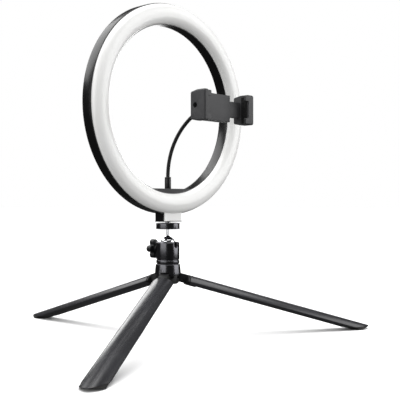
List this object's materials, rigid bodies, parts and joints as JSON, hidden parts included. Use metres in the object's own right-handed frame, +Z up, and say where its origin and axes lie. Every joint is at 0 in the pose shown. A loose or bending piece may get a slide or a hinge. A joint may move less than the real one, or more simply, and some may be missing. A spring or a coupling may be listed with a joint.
{
  "type": "ring light",
  "caption": "Ring light on a folding table tripod with a ball head, and a spring-loaded phone holder on a gooseneck in the ring's open middle.",
  "frame": {"origin": "centre of the footprint's bounding box, on the floor the three feet stand on", "axes": "+Z up, the light faces -Y, +X to the right of a person who looks along +Y at the lit face; the tripod's upright axis is at x = 0, y = -0.06785 m"},
  "size_m": [0.487, 0.4252, 0.4154],
  "materials": {
    "black shell": "semi-gloss black ABS",
    "diffuser": "milky white polycarbonate, unlit",
    "board": "white solder mask",
    "led": "phosphor yellow",
    "reflector": "white film",
    "screw steel": "blackened steel",
    "stud steel": "zinc plated",
    "insert brass": "turned",
    "lead": "black",
    "head metal": "satin dark anodised",
    "chrome ball": "polished",
    "nylon": "natural nylon",
    "pad rubber": "matt black",
    "foot rubber": "matt black",
    "knob plastic": "satin black",
    "yoke plastic": "satin black nylon",
    "leg plastic": "satin dark grey",
    "bracket plastic": "satin dark grey",
    "neck sleeve": "matt black sleeve over a wound steel tube",
    "ferrule": "black",
    "stud chrome": "plated",
    "holder plastic": "fine matt dark grey",
    "spring steel": "bright wire"
  },
  "bodies": {
    "tripod_hub": {"hub_collar": "head metal", "hub_yoke": "yoke plastic", "hub_stud": "stud steel", "leg_pins": "screw steel", "head_base_ring": "head metal", "head_housing": "head metal"},
    "leg_1": {"leg_1_shell": "leg plastic", "leg_1_knuckle": "yoke plastic", "leg_1_foot": "foot rubber"},
    "leg_2": {"leg_2_shell": "leg plastic", "leg_2_knuckle": "yoke plastic", "leg_2_foot": "foot rubber"},
    "leg_3": {"leg_3_shell": "leg plastic", "leg_3_knuckle": "yoke plastic", "leg_3_foot": "foot rubber"},
    "head_seat": {"ball_seat": "nylon"},
    "head_ball": {"ball_stem": "chrome ball"},
    "light": {"platform_disc": "head metal", "platform_pad": "pad rubber", "platform_screw": "stud steel", "mount_insert": "insert brass", "rear_housing": "black shell", "diffuser": "diffuser", "led_board": "board", "led_chips": "led", "reflector": "reflector", "housing_screws": "screw steel", "cable_gland": "black shell", "lead_wires": "lead", "holder_bracket": "bracket plastic", "bracket_screws": "screw steel", "bracket_stud": "screw steel", "neck_base": "ferrule", "neck_tube_0": "neck sleeve"},
    "lock_plunger": {"lock_pad": "nylon"},
    "lock_knob": {"lock_knob": "knob plastic", "lock_screw": "stud steel"},
    "neck_1": {"neck_tube_1": "neck sleeve"},
    "neck_2": {"neck_tube_2": "neck sleeve"},
    "neck_3": {"neck_tube_3": "neck sleeve"},
    "neck_4": {"neck_tube_4": "neck sleeve"},
    "neck_5": {"neck_tube_5": "neck sleeve", "neck_top": "ferrule"},
    "holder_stud": {"neck_ball": "stud chrome"},
    "holder_liner": {"ball_liner": "nylon"},
    "holder": {"clamp_body": "holder plastic", "clamp_cover": "holder plastic", "cover_screws": "screw steel", "fixed_jaw_pad": "pad rubber", "guide_rods": "stud steel", "clamp_springs": "spring steel"},
    "jaw": {"sliding_jaw": "holder plastic", "sliding_jaw_pad": "pad rubber"},
    "nut_ring": {"nut_ring": "nylon"},
    "lock_nut": {"lock_nut": "knob plastic"}
  },
  "joints": [
    {"name": "leg_1_fold", "type": "hinge", "parent": "tripod_hub", "child": "leg_1", "pos_m": [0.00909, -0.0731, 0.07732], "axis": [0.5, 0.866, 0], "range_deg": [0, 73.5]},
    {"name": "leg_2_fold", "type": "hinge", "parent": "tripod_hub", "child": "leg_2", "pos_m": [0, -0.05735, 0.07732], "axis": [-1, 0, 0], "range_deg": [0, 73.5]},
    {"name": "leg_3_fold", "type": "hinge", "parent": "tripod_hub", "child": "leg_3", "pos_m": [-0.00909, -0.0731, 0.07732], "axis": [0.5, -0.866, 0], "range_deg": [0, 73.5]},
    {"name": "head_side_tilt", "type": "hinge", "parent": "tripod_hub", "child": "head_seat", "pos_m": [0, -0.06785, 0.1185], "axis": [0, 1, 0], "range_deg": [-40, 40]},
    {"name": "head_notch_tilt", "type": "hinge", "parent": "head_seat", "child": "head_ball", "pos_m": [0, -0.06785, 0.1185], "axis": [1, 0, 0], "range_deg": [-30, 90]},
    {"name": "head_spin", "type": "hinge", "parent": "head_ball", "child": "light", "pos_m": [0, -0.06785, 0.138], "axis": [0, 0, 1], "continuous": true},
    {"name": "lock_travel", "type": "slide", "parent": "tripod_hub", "child": "lock_plunger", "axis": [0, 1, 0], "range_m": [0, 0.0008]},
    {"name": "lock_turn", "type": "hinge", "parent": "lock_plunger", "child": "lock_knob", "pos_m": [0, -0.04785, 0.1116], "axis": [0, 1, 0], "range_deg": [0, 360]},
    {"name": "neck_bend_1", "type": "hinge", "parent": "light", "child": "neck_1", "pos_m": [0.00017, -0.06827, 0.21169], "axis": [0.96, 0.28, 0], "range_deg": [-20, 20]},
    {"name": "neck_bend_2", "type": "hinge", "parent": "neck_1", "child": "neck_2", "pos_m": [0.00159, -0.07189, 0.23186], "axis": [-0.2678, 0.9183, 0.2915], "range_deg": [-20, 20]},
    {"name": "neck_bend_3", "type": "hinge", "parent": "neck_2", "child": "neck_3", "pos_m": [0.00443, -0.07945, 0.25082], "axis": [0.96, 0.28, 0], "range_deg": [-25, 25]},
    {"name": "neck_bend_4", "type": "hinge", "parent": "neck_3", "child": "neck_4", "pos_m": [0.00836, -0.09084, 0.26732], "axis": [-0.2019, 0.6924, 0.6927], "range_deg": [-20, 20]},
    {"name": "neck_bend_5", "type": "hinge", "parent": "neck_4", "child": "neck_5", "pos_m": [0.01268, -0.10622, 0.27999], "axis": [0.96, 0.28, 0], "range_deg": [-25, 25]},
    {"name": "holder_roll", "type": "hinge", "parent": "neck_5", "child": "holder_stud", "pos_m": [0.014, -0.11385, 0.283], "axis": [0, 1, 0], "continuous": true},
    {"name": "holder_tilt", "type": "hinge", "parent": "holder_stud", "child": "holder_liner", "pos_m": [0.014, -0.12585, 0.283], "axis": [1, 0, 0], "range_deg": [-20, 20]},
    {"name": "holder_pan", "type": "hinge", "parent": "holder_liner", "child": "holder", "pos_m": [0.014, -0.12585, 0.283], "axis": [0, 0, 1], "range_deg": [-20, 20]},
    {"name": "jaw_slide", "type": "slide", "parent": "holder", "child": "jaw", "axis": [1, 0, 0], "range_m": [-0.013, 0.015], "stiffness_N_per_m": 120, "deforming": ["clamp_springs"]},
    {"name": "nut_travel", "type": "slide", "parent": "holder", "child": "nut_ring", "axis": [0, 1, 0], "range_m": [0, 0.001]},
    {"name": "nut_turn", "type": "hinge", "parent": "nut_ring", "child": "lock_nut", "pos_m": [0.014, -0.12585, 0.283], "axis": [0, 1, 0], "range_deg": [0, 360]}
  ],
  "couplings": [
    {"joint": "lock_turn", "follows": "lock_travel", "rad_per_m": 7853.9},
    {"joint": "nut_turn", "follows": "nut_travel", "rad_per_m": 6283.1}
  ]
}
